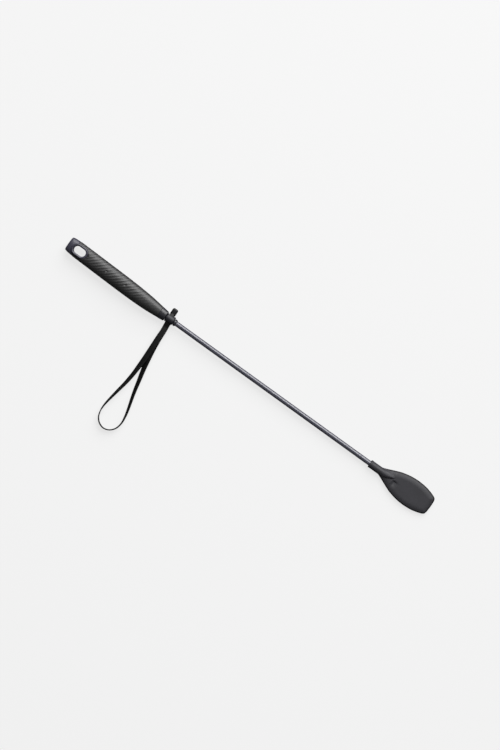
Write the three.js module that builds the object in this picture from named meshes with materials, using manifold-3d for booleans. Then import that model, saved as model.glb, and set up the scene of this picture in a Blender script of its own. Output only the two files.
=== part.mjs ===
// A riding crop lying on a flat surface: a moulded handle with a rubber grip and a hanging eye, a wrist
// strap that runs through a slotted collar, a sleeved fibreglass shaft and a two-ply flap.
//
// Millimetres, +Z up. Every piece is drawn along the shaft's axis, which is X: the butt is at x = 0 and
// the flap ends at x = LENGTH. Then the whole crop is tipped until the handle's belly and the flap's
// neck both rest on z = 0, and is centred over the origin.
import * as THREE from "three";
import { mergeVertices } from "three/addons/utils/BufferGeometryUtils.js";
import Module from "manifold-3d";

const wasm = await Module();
wasm.setup();

// ---- driving dimensions -------------------------------------------------------------------------------

const LENGTH = 650;
const GAP = 0.3; // clearance between neighbouring pieces
const ROUND = 32; // sides of a turned piece
const RING = 36; // points round one section of the handle

// Handle: its axis leaves the shaft's axis at x = BEND_X and is BUTT_SHIFT aside at the butt.
const BEND_X = 170;
const BUTT_SHIFT = 3.85;
const HANDLE_END = 176.7;
const GRIP_START = 13;
const GRIP_END = 166;
const GRIP_WALL = 2;
const OVAL_POWER = 2.3;
// x, half width, half height
const HANDLE_SECTIONS = [
  [0, 7.6, 3.4],
  [0.4, 9.5, 4.5],
  [1.3, 10.6, 5.4],
  [3.5, 11.3, 6.2],
  [7.5, 11.75, 6.8],
  [16, 12.3, 7.6],
  [30, 12.4, 8.6],
  [60, 12.45, 9.8],
  [100, 12.4, 10.2],
  [120, 12.05, 10],
  [134, 11.5, 9.6],
  [145, 10.85, 9.1],
  [156, 9.8, 8.4],
  [163, 9.1, 7.9],
  [168, 8.7, 7.6],
  [172, 8.3, 7.3],
  [175.8, 7.7, 6.9],
  [HANDLE_END, 7.05, 6.3],
];

// Hanging eye, with a raised lip of the handle's plastic round it
const EYE_X = 20;
const EYE_LENGTH = 19.6;
const EYE_WIDTH = 11;
const LIP_WIDTH = 2.1;
const LIP_TOP = 8.4;
const EYE_CHAMFER = 0.7;
const EYE_STEPS = 10; // in half a turn of the eye's end

// Shaft: a solid rod, ground thinner at its tip, in a lacquered sleeve
const ROD_RADIUS = 2.6;
const ROD_TIP_RADIUS = 1.6;
const ROD_START = 120;
const ROD_TAPER_START = 560;
const ROD_TAPER_END = 566;
const ROD_END = 574.5;
const SLEEVE_RADIUS = 3.75;
const SLEEVE_START = 195.1;
const SLEEVE_END = 566;
const BORE_RADIUS = ROD_RADIUS + GAP;
const CAP_START = 568;
const CAP_RADIUS = 2.6;
const CAP_END = 578;
// distance from the cap's front, share of its radius
const CAP_NOSE = [
  [2.2, 1],
  [0.8, 0.75],
  [0, 0.35],
  [0, 0],
];

// Collar and front ring
const COLLAR_START = HANDLE_END + GAP;
const COLLAR_END = 190.2;
const COLLAR_RADIUS = 6.95;
const COLLAR_EDGE_RADIUS = 5.9;
// distance from the collar's end face, radius
const COLLAR_SHOULDER = [
  [0, COLLAR_EDGE_RADIUS],
  [0.8, COLLAR_EDGE_RADIUS + 0.65],
  [2.6, COLLAR_RADIUS - 0.1],
];
const RING_START = COLLAR_END + GAP;
const RING_END = 194.8;
const RING_RADIUS = 5.2;
// x, radius: a groove behind it and a slope down to the sleeve in front
const RING_PROFILE = [
  [RING_START, RING_RADIUS - 0.9],
  [RING_START + 0.7, RING_RADIUS - 0.25],
  [RING_START + 2, RING_RADIUS],
  [RING_END - 1.2, RING_RADIUS - 0.3],
  [RING_END - 0.3, RING_RADIUS - 0.9],
  [RING_END, SLEEVE_RADIUS + 0.1],
];

// Wrist strap: two layers straddle the rod inside the collar, then lie on each other
const STRAP_WIDTH = 8.8;
const STRAP_THICKNESS = 1.6;
const STRAP_X = (COLLAR_START + COLLAR_END) / 2;
const STRAP_SKEW = THREE.MathUtils.degToRad(6.5); // leans towards the flap
const SLOT_HALF_HEIGHT = 4.9;
const STRADDLE = ROD_RADIUS + GAP + STRAP_THICKNESS / 2;
const STACK = (STRAP_THICKNESS + GAP) / 2; // half the distance between the stacked layers' middles
const HINGE_REACH = 17; // from the rod to the line the loop swings about
const STRAP_KNUCKLE = STACK + STRAP_THICKNESS / 2;
const ROOT_REACH = HINGE_REACH - STRAP_KNUCKLE - 1.5 * GAP;
const TAB_START = 7.9;
const TONGUE_WIDTH = 5.6; // of the strap's end inside the tab
// distance from the rod towards the tab, and the upper layer's height over the shaft's axis and width there
const LAYER_PATH = [
  [12, 1.35, TONGUE_WIDTH],
  [TAB_START, 2.2, TONGUE_WIDTH],
  [4.6, STRADDLE, STRAP_WIDTH],
  [-2.6, STRADDLE, STRAP_WIDTH],
  [-6.4, 2.9, STRAP_WIDTH],
  [-10.4, 1.45, STRAP_WIDTH],
  [-13, STACK, STRAP_WIDTH],
  [-ROOT_REACH, STACK, STRAP_WIDTH],
];
const KNUCKLE_SHARES = [0.985, 0.85, 0.55, 0.25]; // of the knuckle's radius, where its rings are
const TAB_WIDTH = 8.7;
const TAB_THICKNESS = 5.4;
const TAB_END = 17.4;
const TAB_BEVEL = 1.2;
const TAB_CORNER = 2;
const TAB_TURN = THREE.MathUtils.degToRad(-4.5); // against the strap's own lean

// Flap: two plies closed round the rod's end and an insert, with a skived rim
const NECK_START = 541.5;
const NECK_RADIUS = 5.9;
const NECK_LIP = 0.5;
const FLAP_THICKNESS = 4.6;
const RIM_THICKNESS = 2.2;
const RIM_WIDTH = 4;
const FLEX_X = 588; // the line that the blade bends about, just past the rod's end
const KNUCKLE_RADIUS = FLAP_THICKNESS / 2;
const NECK_END = FLEX_X - KNUCKLE_RADIUS - GAP;
// x, radius: the neck thins out into the blade
const NECK_PROFILE = [
  [NECK_START, NECK_RADIUS - NECK_LIP],
  [NECK_START + NECK_LIP, NECK_RADIUS],
  [564, NECK_RADIUS],
  [573, 5.3],
  [579, 4.5],
  [583, 3.5],
  [586, KNUCKLE_RADIUS],
];
// x, half width
const FLAP_OUTLINE = [
  [555, 4.2],
  [560.5, 5.9],
  [567, 8.4],
  [575, 11.8],
  [582, 14.7],
  [589, 17.2],
  [601, 19.9],
  [614, 21],
  [628, 20.1],
  [636, 18.4],
  [643, 16.2],
  [647, 14.3],
  [648.9, 12],
  [649.7, 8],
  [LENGTH, 2],
];
const INSERT_START = 592;
const INSERT_INSET = 6;
const INSERT_THICKNESS = 1.4;
const FLAP_REACH = 60; // beyond every side of the flap
const FLAP_STATIONS = 26;

// The surface that the crop lies on, as seen from the shaft's axis
const REST_HANDLE_X = 108;
const REST_HANDLE_HEIGHT = 10.2;
const REST_NECK_X = 563;
const TILT = Math.atan2(REST_HANDLE_HEIGHT - NECK_RADIUS, REST_NECK_X - REST_HANDLE_X);
const LOOP_HEIGHT = STRAP_WIDTH / 2 + 0.2; // of the strap's middle where it stands on its edge

// The loop, from the upper layer at the hinge round to the lower one: x, y, height above the shaft's
// axis (null where the strap stands on the surface) and the strap's twist in degrees.
const LOOP_ROUTE = [
  [185.9, -21, STACK, 0],
  [186, -30, 0.8, 4],
  [186.6, -45, 0.1, 12],
  [187, -58, -0.7, 20],
  [187.2, -70, -1.5, 30],
  [187, -84, -2.3, 42],
  [186.6, -97, -3, 50],
  [185.2, -112, -3.7, 57],
  [182.8, -127, -4.3, 64],
  [180.4, -142, null, 71],
  [178.7, -156, null, 80],
  [179.1, -167, null, 87],
  [182.5, -176.4, null, 90],
  [188.6, -182.4, null, 90],
  [197, -185, null, 90],
  [205.6, -182.4, null, 90],
  [212.2, -175, null, 93],
  [214.6, -165, null, 97],
  [213.4, -153, null, 105],
  [210.2, -140, null, 112],
  [206.6, -128, -5, 117],
  [202.9, -115, -4.7, 122],
  [199.6, -101, -4.4, 129],
  [195.4, -84, -3.9, 138],
  [192.3, -70, -3.5, 150],
  [190, -58, -2.8, 160],
  [188, -45, -2, 168],
  [186.4, -30, -1.2, 176],
  [185.9, -21, -STACK, 180],
];
const LOOP_STEPS = 96;

// ---- materials ----------------------------------------------------------------------------------------

const FINISHES = {
  core_plastic: { color: 0x4a4b57, roughness: 0.35, metalness: 0 },
  grip_rubber: { color: 0x262626, roughness: 0.6, metalness: 0 },
  shaft_lacquer: { color: 0x64656f, roughness: 0.25, metalness: 0.5 },
  fibreglass: { color: 0x2d2d30, roughness: 0.5, metalness: 0 },
  strap_leather: { color: 0x262627, roughness: 0.6, metalness: 0 },
  tab_rubber: { color: 0x232324, roughness: 0.5, metalness: 0 },
  flap_leather: { color: 0x3c3b40, roughness: 0.5, metalness: 0 },
  insert_board: { color: 0x5a4c3c, roughness: 0.9, metalness: 0 },
};

// ---- geometry helpers ---------------------------------------------------------------------------------

function toSolid(geometry) {
  const bare = geometry.clone();
  bare.deleteAttribute("normal");
  bare.deleteAttribute("uv");
  const merged = mergeVertices(bare, 1e-4);
  const mesh = new wasm.Mesh({
    numProp: 3,
    vertProperties: merged.attributes.position.array,
    triVerts: new Uint32Array(merged.index.array),
  });
  return new wasm.Manifold(mesh);
}

function toGeometry(solid) {
  const mesh = solid.getMesh();
  const geometry = new THREE.BufferGeometry();
  geometry.setAttribute("position", new THREE.BufferAttribute(mesh.vertProperties, 3));
  geometry.setIndex(new THREE.BufferAttribute(mesh.triVerts, 1));
  geometry.computeVertexNormals();
  return geometry;
}

// A closed solid through rings of equally many points, anticlockwise as seen from the last ring's side.
function loft(rings) {
  const count = rings[0].length;
  const positions = rings.flat().flatMap((p) => p.toArray());
  const faces = [];
  for (let i = 0; i + 1 < rings.length; i++) {
    for (let j = 0; j < count; j++) {
      const a = i * count + j;
      const b = i * count + ((j + 1) % count);
      faces.push(a, b, a + count, b, b + count, a + count);
    }
  }
  [rings[0], rings.at(-1)].forEach((ring, end) => {
    const middle = new THREE.Vector3();
    ring.forEach((p) => middle.addScaledVector(p, 1 / count));
    const hub = positions.length / 3;
    positions.push(...middle.toArray());
    const first = end ? (rings.length - 1) * count : 0;
    for (let j = 0; j < count; j++) {
      const a = first + j;
      const b = first + ((j + 1) % count);
      faces.push(...(end ? [hub, a, b] : [hub, b, a]));
    }
  });
  const geometry = new THREE.BufferGeometry();
  geometry.setAttribute("position", new THREE.Float32BufferAttribute(positions, 3));
  geometry.setIndex(faces);
  geometry.computeVertexNormals();
  return geometry;
}

// A solid turned about X, from a profile of [x, radius] pairs that starts and ends on the axis or closes.
function turned(profile) {
  const points = profile.map(([x, r]) => new THREE.Vector2(r, x));
  return new THREE.LatheGeometry(points, ROUND).rotateZ(-Math.PI / 2);
}

function rodOf(radius, start, end) {
  return turned([[start, 0], [start, radius], [end, radius], [end, 0]]);
}

function tubeOf(outer, inner, start, end) {
  return turned([[start, inner], [start, outer], [end, outer], [end, inner], [start, inner]]);
}

function block(x0, x1, y0, y1, z0, z1) {
  const box = new THREE.BoxGeometry(x1 - x0, y1 - y0, z1 - z0);
  return box.translate((x0 + x1) / 2, (y0 + y1) / 2, (z0 + z1) / 2);
}

// Smooth interpolation of one column of a table by its first column.
function column(table, x, k) {
  const last = table.length - 1;
  const i = Math.min(Math.max(table.findIndex((row) => row[0] > x) - 1, 0), last - 1);
  const at = x >= table[last][0] ? last - 1 : i;
  const slope = (j) => {
    const before = table[Math.max(j - 1, 0)];
    const after = table[Math.min(j + 1, last)];
    return (after[k] - before[k]) / (after[0] - before[0]);
  };
  const span = table[at + 1][0] - table[at][0];
  const t = (x - table[at][0]) / span;
  const rise = table[at + 1][k] - table[at][k];
  const ease = t * t * (3 - 2 * t);
  const bow = slope(at) * t * (1 - t) ** 2 - slope(at + 1) * t * t * (1 - t);
  return table[at][k] + rise * ease + span * bow;
}

// ---- handle -------------------------------------------------------------------------------------------

const handleAxisY = (x) => BUTT_SHIFT * Math.max(0, 1 - x / BEND_X);
const handleStations = (from, to) => [
  from,
  ...HANDLE_SECTIONS.map((row) => row[0]).filter((x) => x > from && x < to),
  to,
];

function handleRing(x, inset) {
  const a = column(HANDLE_SECTIONS, x, 1) - inset;
  const b = column(HANDLE_SECTIONS, x, 2) - inset;
  return Array.from({ length: RING }, (_, j) => {
    const angle = (2 * Math.PI * j) / RING;
    const bulge = (v) => Math.sign(v) * Math.abs(v) ** (2 / OVAL_POWER);
    return new THREE.Vector3(x, handleAxisY(x) + a * bulge(Math.cos(angle)), b * bulge(Math.sin(angle)));
  });
}

// Rings over a stretch of the handle, halfway stations included
function handleRings(from, to, inset) {
  const marks = handleStations(from, to);
  const all = marks.flatMap((x, i) => (i + 1 < marks.length && marks[i + 1] - x > 8
    ? [x, (x + marks[i + 1]) / 2]
    : [x]));
  return all.map((x) => handleRing(x, inset));
}

function obround(grow) {
  const radius = EYE_WIDTH / 2 + grow;
  const half = (EYE_LENGTH - EYE_WIDTH) / 2;
  const shape = new THREE.Shape();
  shape.absarc(half, 0, radius, -Math.PI / 2, Math.PI / 2);
  shape.absarc(-half, 0, radius, Math.PI / 2, (3 * Math.PI) / 2);
  shape.closePath();
  return shape;
}

function eyePrism(grow, z0, z1) {
  const prism = new THREE.ExtrudeGeometry(obround(grow), {
    depth: z1 - z0,
    bevelEnabled: false,
    curveSegments: EYE_STEPS,
  });
  return prism.translate(EYE_X, handleAxisY(EYE_X), z0);
}

// The eye's cutter: a straight slot that flares at both of the lip's faces
function eyeCutter() {
  const flare = new THREE.ExtrudeGeometry(obround(0), {
    depth: 2,
    bevelThickness: EYE_CHAMFER,
    bevelSize: EYE_CHAMFER,
    bevelSegments: 1,
    curveSegments: EYE_STEPS,
  });
  const y = handleAxisY(EYE_X);
  const upper = toSolid(flare.clone().translate(EYE_X, y, LIP_TOP));
  const lower = toSolid(flare.translate(EYE_X, y, -LIP_TOP - 2));
  return toSolid(eyePrism(0, -2 * LIP_TOP, 2 * LIP_TOP)).add(upper).add(lower);
}

function handleCore() {
  const waist = GRIP_WALL + GAP;
  const body = toSolid(loft([
    ...handleRings(0, GRIP_START - GAP, 0),
    ...handleRings(GRIP_START - GAP, GRIP_END + GAP, waist),
    ...handleRings(GRIP_END + GAP, HANDLE_END, 0),
  ]));
  const lip = toSolid(eyePrism(LIP_WIDTH, -LIP_TOP, LIP_TOP));
  const bore = toSolid(rodOf(BORE_RADIUS, ROD_START - GAP, HANDLE_END + 1));
  return toGeometry(body.add(lip).subtract(eyeCutter()).subtract(bore));
}

function gripSleeve() {
  const outer = toSolid(loft(handleRings(GRIP_START, GRIP_END, 0)));
  const inner = toSolid(loft([
    handleRing(GRIP_START, GRIP_WALL).map((p) => p.setX(GRIP_START - 1)),
    ...handleRings(GRIP_START, GRIP_END, GRIP_WALL),
    handleRing(GRIP_END, GRIP_WALL).map((p) => p.setX(GRIP_END + 1)),
  ]));
  const eyeRoom = toSolid(eyePrism(LIP_WIDTH + GAP, -2 * LIP_TOP, 2 * LIP_TOP));
  return toGeometry(outer.subtract(inner).subtract(eyeRoom));
}

// ---- collar, ring and shaft ---------------------------------------------------------------------------

// Turns a piece drawn along the strap (x across the strap, -y along it) into its place in the collar
const alongStrap = (geometry) => geometry.rotateZ(STRAP_SKEW).translate(STRAP_X, 0, 0);

function strapCollar() {
  const rear = COLLAR_SHOULDER.map(([x, r]) => [COLLAR_START + x, r]);
  const front = COLLAR_SHOULDER.map(([x, r]) => [COLLAR_END - x, r]).reverse();
  const outline = [...rear, [STRAP_X, COLLAR_RADIUS], ...front];
  const bore = [[COLLAR_END, BORE_RADIUS], [COLLAR_START, BORE_RADIUS]];
  const barrel = toSolid(turned([bore[1], ...outline, ...bore]));
  const half = STRAP_WIDTH / 2 + GAP;
  const reach = 2 * COLLAR_RADIUS;
  const slot = alongStrap(block(-half, half, -reach, reach, -SLOT_HALF_HEIGHT, SLOT_HALF_HEIGHT));
  return toGeometry(barrel.subtract(toSolid(slot)));
}

function frontRing() {
  const bore = [[RING_END, BORE_RADIUS], [RING_START, BORE_RADIUS]];
  return turned([bore[1], ...RING_PROFILE, ...bore]);
}

function shaftRod() {
  return turned([
    [ROD_START, 0],
    [ROD_START, ROD_RADIUS],
    [ROD_TAPER_START, ROD_RADIUS],
    [ROD_TAPER_END, ROD_TIP_RADIUS],
    [ROD_END, ROD_TIP_RADIUS],
    [ROD_END, 0],
  ]);
}

function tipCap() {
  const bore = ROD_TIP_RADIUS + GAP;
  return turned([
    [CAP_START, bore],
    [CAP_START, CAP_RADIUS],
    ...CAP_NOSE.map(([back, share]) => [CAP_END - back, CAP_RADIUS * share]),
    [ROD_END + GAP, 0],
    [ROD_END + GAP, bore],
    [CAP_START, bore],
  ]);
}

// ---- wrist strap --------------------------------------------------------------------------------------

// One rectangular ring of the strap: its middle, its width direction and its thickness direction
function strapRing(middle, across, up, halfWidth, low, high) {
  return [[-1, low], [1, low], [1, high], [-1, high]].map(([side, lift]) =>
    middle.clone().addScaledVector(across, side * halfWidth).addScaledVector(up, lift));
}

// A layer from inside the tab, over the rod and down to the stack; side is 1 above the rod, -1 below
function strapLayer(side, grow) {
  const across = new THREE.Vector3(1, 0, 0);
  const up = new THREE.Vector3(0, 0, 1);
  const half = STRAP_THICKNESS / 2 + grow;
  const rings = LAYER_PATH.map(([y, offset, width], i) => {
    const stretch = i === 0 ? grow : 0;
    const middle = new THREE.Vector3(0, y + stretch, side * offset);
    return strapRing(middle, across, up, width / 2 + grow, -half, half);
  });
  return alongStrap(loft(rings));
}

// The moulded end: a bevelled lozenge over both layers' ends
function strapTab() {
  const half = TAB_WIDTH / 2 - TAB_BEVEL;
  const far = TAB_END - TAB_BEVEL;
  const near = TAB_START + TAB_BEVEL;
  const shape = new THREE.Shape();
  shape.moveTo(-half, near);
  shape.lineTo(half, near);
  shape.lineTo(half, far - TAB_CORNER);
  shape.quadraticCurveTo(half, far, 0, far);
  shape.quadraticCurveTo(-half, far, -half, far - TAB_CORNER);
  shape.closePath();
  const plate = new THREE.ExtrudeGeometry(shape, {
    depth: TAB_THICKNESS - 2 * TAB_BEVEL,
    bevelThickness: TAB_BEVEL,
    bevelSize: TAB_BEVEL,
    bevelSegments: 3,
    curveSegments: 8,
  });
  plate.translate(0, -TAB_START, TAB_BEVEL - TAB_THICKNESS / 2);
  plate.rotateZ(TAB_TURN).translate(0, TAB_START, 0);
  return alongStrap(plate);
}

const surfaceZ = (x) => -REST_HANDLE_HEIGHT + (x - REST_HANDLE_X) * Math.tan(TILT);

// The loop in one piece: a strap swept along its route, its two ends rounded about the hinge line
function wristLoop() {
  const middles = LOOP_ROUTE.map(([x, y, z]) => new THREE.Vector3(x, y, z ?? surfaceZ(x) + LOOP_HEIGHT));
  const start = STRAP_X + HINGE_REACH * Math.sin(STRAP_SKEW);
  const startY = -HINGE_REACH * Math.cos(STRAP_SKEW);
  const path = new THREE.CatmullRomCurve3([
    new THREE.Vector3(start, startY, STACK),
    ...middles,
    new THREE.Vector3(start, startY, -STACK),
  ]);
  const twists = [0, ...LOOP_ROUTE.map((row) => row[3]), 180].map((twist, i) => [i, twist]);
  const spans = twists.length - 1;
  const upright = new THREE.Vector3(0, 0, 1);
  const rings = Array.from({ length: LOOP_STEPS + 1 }, (_, i) => {
    const t = i / LOOP_STEPS;
    const tangent = path.getTangent(t);
    const flat = new THREE.Vector3().crossVectors(upright, tangent).normalize();
    const lift = new THREE.Vector3().crossVectors(tangent, flat);
    const twist = THREE.MathUtils.degToRad(column(twists, t * spans, 1));
    const across = flat.clone().multiplyScalar(Math.cos(twist)).addScaledVector(lift, Math.sin(twist));
    const up = lift.multiplyScalar(Math.cos(twist)).addScaledVector(flat, -Math.sin(twist));
    const half = STRAP_THICKNESS / 2;
    return strapRing(path.getPoint(t), across, up, STRAP_WIDTH / 2, -half, half);
  });
  return loft(knuckleRings(1).concat(rings, knuckleRings(-1).reverse()));
}

// The rounding at one end of the loop, drawn from the hinge line back towards the collar
function knuckleRings(side) {
  const across = new THREE.Vector3(Math.cos(STRAP_SKEW), Math.sin(STRAP_SKEW), 0);
  const along = new THREE.Vector3(Math.sin(STRAP_SKEW), -Math.cos(STRAP_SKEW), 0);
  const inner = STACK - STRAP_THICKNESS / 2;
  return KNUCKLE_SHARES.map((share) => {
    const reach = HINGE_REACH - share * STRAP_KNUCKLE;
    const middle = new THREE.Vector3(STRAP_X, 0, 0).addScaledVector(along, reach);
    const top = STRAP_KNUCKLE * Math.sqrt(1 - share ** 2);
    const up = new THREE.Vector3(0, 0, side);
    return strapRing(middle, across, up, STRAP_WIDTH / 2, Math.min(inner, top * 0.5), top);
  });
}

// ---- flap ---------------------------------------------------------------------------------------------

const flapHalfWidth = (x) => column(FLAP_OUTLINE, x, 1);

// Stations along the flap, closer together towards its end
function flapStations(from, to) {
  return Array.from({ length: FLAP_STATIONS + 1 }, (_, i) => {
    const t = i / FLAP_STATIONS;
    return from + (to - from) * (1 - (1 - t) ** 1.6);
  });
}

// A slab with the flap's outline, its rim sloping down over rimWidth at the sides and at the end
function slab(inset, from, thickness, rimThickness, rimWidth) {
  const end = LENGTH - inset;
  const rings = flapStations(from, end).map((x) => {
    const outer = Math.max(flapHalfWidth(x) - inset, 1);
    const inner = Math.max(outer - rimWidth, outer * 0.4);
    const rise = rimWidth > 0 ? Math.min(1, (end - x) / rimWidth) : 1;
    const low = rimThickness / 2;
    const high = low + (thickness / 2 - low) * rise;
    const corners = [[outer, low], [inner, high], [-inner, high], [-outer, low]];
    const mirrored = corners.map(([y, z]) => [y, -z]).reverse();
    return [...corners, ...mirrored].map(([y, z]) => new THREE.Vector3(x, y, z));
  });
  return toSolid(loft(rings));
}

const flapSlab = () => slab(0, FLAP_OUTLINE[0][0], FLAP_THICKNESS, RIM_THICKNESS, RIM_WIDTH);

function flapNeck() {
  return toSolid(turned([[NECK_START, 0], ...NECK_PROFILE, [NECK_PROFILE.at(-1)[0], 0]]));
}

// Everything inside the plies, with clearance
function flapRoom() {
  const shaftRoom = toSolid(turned([
    [NECK_START - 1, 0],
    [NECK_START - 1, SLEEVE_RADIUS + GAP],
    [SLEEVE_END + GAP, SLEEVE_RADIUS + GAP],
    [SLEEVE_END + 3 * GAP, CAP_RADIUS + GAP],
    [CAP_END, CAP_RADIUS + GAP],
    [CAP_END + GAP, 0],
  ]));
  const pocket = INSERT_THICKNESS + 2 * GAP;
  const insertRoom = slab(INSERT_INSET - GAP, INSERT_START - GAP, pocket, pocket, 0);
  return shaftRoom.add(insertRoom);
}

// One ply, side 1 above and -1 below, cut at the line that the blade bends about
function flapPly(side, isBlade) {
  const reach = FLAP_REACH;
  const knuckle = new THREE.CylinderGeometry(KNUCKLE_RADIUS, KNUCKLE_RADIUS, reach, ROUND);
  const beyond = toSolid(block(FLEX_X, LENGTH + 1, -reach, reach, -reach, reach));
  const before = toSolid(block(NECK_START - 1, NECK_END, -reach, reach, -reach, reach));
  const part = isBlade ? beyond.add(toSolid(knuckle.translate(FLEX_X, 0, 0))) : before;
  const half = side > 0
    ? block(NECK_START - 2, LENGTH + 2, -reach, reach, GAP / 2, reach)
    : block(NECK_START - 2, LENGTH + 2, -reach, reach, -reach, -GAP / 2);
  const whole = flapSlab().add(flapNeck()).subtract(flapRoom());
  return toGeometry(whole.intersect(toSolid(half)).intersect(part));
}

const flapInsert = () => toGeometry(slab(INSERT_INSET, INSERT_START, INSERT_THICKNESS, INSERT_THICKNESS, 0));

// ---- assembly -----------------------------------------------------------------------------------------

const crop = new THREE.Group();

function add(name, finish, geometry) {
  const mesh = new THREE.Mesh(geometry, new THREE.MeshStandardMaterial(FINISHES[finish]));
  mesh.name = name;
  crop.add(mesh);
}

add("handle_core", "core_plastic", handleCore());
add("grip_sleeve", "grip_rubber", gripSleeve());
add("strap_collar", "core_plastic", strapCollar());
add("front_ring", "core_plastic", frontRing());
add("shaft_rod", "fibreglass", shaftRod());
add("shaft_sleeve", "shaft_lacquer", tubeOf(SLEEVE_RADIUS, BORE_RADIUS, SLEEVE_START, SLEEVE_END));
add("shaft_tip_cap", "core_plastic", tipCap());
const layerRoom = toSolid(strapLayer(1, GAP)).add(toSolid(strapLayer(-1, GAP)));
add("strap_tab", "tab_rubber", toGeometry(toSolid(strapTab()).subtract(layerRoom)));
add("strap_root_upper", "strap_leather", strapLayer(1, 0));
add("strap_root_lower", "strap_leather", strapLayer(-1, 0));
add("wrist_loop", "strap_leather", wristLoop());
add("neck_upper_ply", "flap_leather", flapPly(1, false));
add("neck_lower_ply", "flap_leather", flapPly(-1, false));
add("blade_upper_ply", "flap_leather", flapPly(1, true));
add("blade_lower_ply", "flap_leather", flapPly(-1, true));
add("blade_insert", "insert_board", flapInsert());

crop.rotation.y = TILT;
const part = new THREE.Group();
part.add(crop);
part.updateMatrixWorld(true);
const extent = new THREE.Box3().setFromObject(part, true);
const middle = extent.getCenter(new THREE.Vector3());
crop.position.set(-middle.x, -middle.y, -extent.min.z);

export default part;
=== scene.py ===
import math

import bmesh
import bpy
import numpy as np
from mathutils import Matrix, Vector


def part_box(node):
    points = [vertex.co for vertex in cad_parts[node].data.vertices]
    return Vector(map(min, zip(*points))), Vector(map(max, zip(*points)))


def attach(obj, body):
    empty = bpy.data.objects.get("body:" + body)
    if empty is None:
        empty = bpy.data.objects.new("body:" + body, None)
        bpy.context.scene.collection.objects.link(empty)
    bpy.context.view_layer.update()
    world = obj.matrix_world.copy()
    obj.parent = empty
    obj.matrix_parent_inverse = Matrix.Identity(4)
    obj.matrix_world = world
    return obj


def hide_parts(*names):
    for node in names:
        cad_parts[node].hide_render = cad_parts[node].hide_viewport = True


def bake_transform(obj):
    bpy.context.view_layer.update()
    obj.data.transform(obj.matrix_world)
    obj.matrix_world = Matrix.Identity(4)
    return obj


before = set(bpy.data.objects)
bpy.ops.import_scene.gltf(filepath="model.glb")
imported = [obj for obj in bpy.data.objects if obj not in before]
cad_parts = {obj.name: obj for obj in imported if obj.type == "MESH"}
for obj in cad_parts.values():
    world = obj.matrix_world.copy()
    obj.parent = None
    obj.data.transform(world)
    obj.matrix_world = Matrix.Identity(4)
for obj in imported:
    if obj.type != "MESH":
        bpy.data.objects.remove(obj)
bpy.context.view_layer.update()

# ---- dimensions: millimetres along the shaft's own axis, with the butt at x = 0 and +Z up ----

MM = 0.001
LENGTH = 650

BEND_X = 170  # the handle's axis leaves the shaft's axis here
BUTT_SHIFT = 3.85  # of the butt's middle from the shaft's axis, towards +Y
HANDLE_END = 176.7
GRIP_START = 13
GRIP_END = 166
GRIP_WAIST = 2.3  # how far the core lies under the grip's surface
GRIP_REAR_ROLL = 0.6  # radius of the grip's rolled-over end
GRIP_FRONT_ROLL = 0.25
OVAL_POWER = 2.3  # of the handle's section: 2 is an ellipse, more is squarer
# x, half width, half height
HANDLE_SECTIONS = [
    (0, 7.6, 3.4),
    (0.4, 9.5, 4.5),
    (1.3, 10.6, 5.4),
    (3.5, 11.3, 6.2),
    (7.5, 11.75, 6.8),
    (16, 12.3, 7.6),
    (30, 12.4, 8.6),
    (60, 12.45, 9.8),
    (100, 12.4, 10.2),
    (120, 12.05, 10),
    (134, 11.5, 9.6),
    (145, 10.85, 9.1),
    (156, 9.8, 8.4),
    (163, 9.1, 7.9),
    (168, 8.7, 7.6),
    (172, 8.3, 7.3),
    (175.8, 7.7, 6.9),
    (HANDLE_END, 7.05, 6.3),
]

EYE_X = 20
EYE_LENGTH = 19.6
EYE_WIDTH = 11
LIP_TOP = 8.4
LIP_FOOT = 7.5  # its slope towards the eye rises from here
LIP_SHOULDER = 7.9  # and its outer slope from here
LIP_REACH = 3.1  # how far its outer slope goes from the eye
LIP_CREST = 1.75  # distance of its crest from the eye
LIP_FLAT = 0.15  # width of its level top
LIP_STAND = 0.55  # of the crest over the grip beside it
GRIP_HOLE = 1.05  # how far the grip's edge is from the eye, hidden by the lip
BUTT_VOXEL = 0.21  # how fine the butt's skin is

RIB_PITCH = 6.4  # along the handle
RIB_STARTS = 16
RIB_DEPTH = 0.32
RIB_RISE = 0.18  # of the crests over the handle's plain surface
RIB_SHARPNESS = 2.4  # more makes the grooves narrower
RIB_LEAN = 0.45  # drop of one flank, as a share of the depth
RIB_FADE = (112, 148)  # x between which the ribs grow shallower
RIB_FADED = 0.85  # share of their depth that is lost there
RIB_SLOPE = math.radians(35.8)  # of a rib to the handle's axis, on top
PIT_PLACES = [(34.5, 4.1), (68.7, 2.7), (102.7, 2.0)]
PIT_SIZE = (2.0, 0.95)  # along the ribs and across them
PIT_DEPTH = 0.8

COLLAR_START = 177.0
COLLAR_END = 190.2
COLLAR_RADIUS = 6.95
COLLAR_EDGE_RADIUS = 5.9
COLLAR_VOXEL = 0.13
SLOT_HALF_HEIGHT = 4.9
ROD_BORE = 2.9
RING_START = 190.5
RING_END = 194.8
RING_RADIUS = 5.2
RING_BORE = 3.2
SLEEVE_RADIUS = 3.75
SLEEVE_START = 195.1
SLEEVE_END = 566
WEAVE_ROUND = 24  # size of the weave's map round the sleeve, close to the sleeve's girth

STRAP_WIDTH = 8.8
STRAP_THICKNESS = 1.6
STRAP_X = (COLLAR_START + COLLAR_END) / 2
STRAP_SKEW = math.radians(6.5)
STACK = 0.95  # of each layer of the strap over or under the shaft's axis, outside the collar
HINGE_REACH = 17  # distance of the strap's joint from the rod
TONGUE_WIDTH = 5.6  # of the strap's end inside the tab
TONGUE_FROM = 5  # distances from the rod between which the strap narrows to it
TONGUE_END = 7.9
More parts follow.
